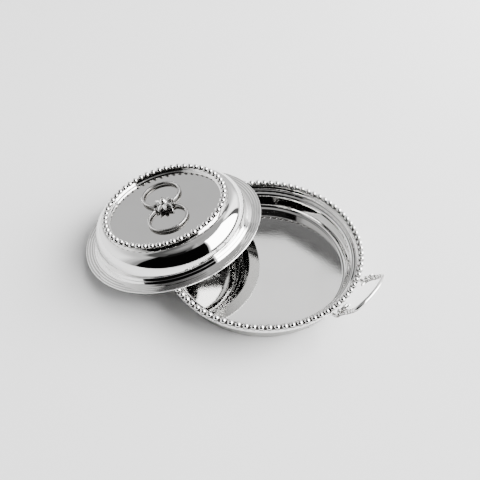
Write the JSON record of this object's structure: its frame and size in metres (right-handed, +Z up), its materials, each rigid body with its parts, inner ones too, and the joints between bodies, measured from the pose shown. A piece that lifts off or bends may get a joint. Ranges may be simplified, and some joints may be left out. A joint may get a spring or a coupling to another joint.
{
  "type": "covered trinket dish",
  "caption": "Round polished dish with a beaded rim and one loop handle, and a domed lid with two drop rings that leans on the dish.",
  "frame": {"origin": "centre of the bowl's flat underside, on the table", "axes": "+Z up; -Y towards the viewer, +X to the viewer's right; the lid leans on the left of the bowl, the handle stands out to the front right"},
  "size_m": [0.1822, 0.1412, 0.044],
  "materials": {
    "polished_silver": "mirror-polished silver plate",
    "fixing_steel": "bright nickel-plated"
  },
  "bodies": {
    "bowl": {"bowl_shell": "polished_silver", "bowl_bead_border": "polished_silver", "handle_loop": "polished_silver", "handle_leaf_front": "polished_silver", "handle_leaf_rear": "polished_silver"},
    "lid": {"lid_shell": "polished_silver", "lid_bead_border": "polished_silver", "knot_base": "polished_silver", "leaf_rosette": "polished_silver", "centre_screw": "fixing_steel", "knot_washer": "fixing_steel", "knot_nut": "fixing_steel"},
    "front_ring": {"ring_front": "polished_silver"},
    "rear_ring": {"ring_rear": "polished_silver"}
  },
  "joints": [
    {"name": "lid_lift", "type": "slide", "parent": "bowl", "child": "lid", "axis": [0, 0, 1], "range_m": [0, 0.06]},
    {"name": "front_ring_hinge", "type": "hinge", "parent": "lid", "child": "front_ring", "pos_m": [-0.06067, 0.02112, 0.03215], "axis": [-0.9403, -0.2791, -0.1948], "range_deg": [0, 88]},
    {"name": "rear_ring_hinge", "type": "hinge", "parent": "lid", "child": "rear_ring", "pos_m": [-0.06174, 0.02514, 0.03154], "axis": [0.9403, 0.2791, 0.1948], "range_deg": [0, 88]}
  ]
}
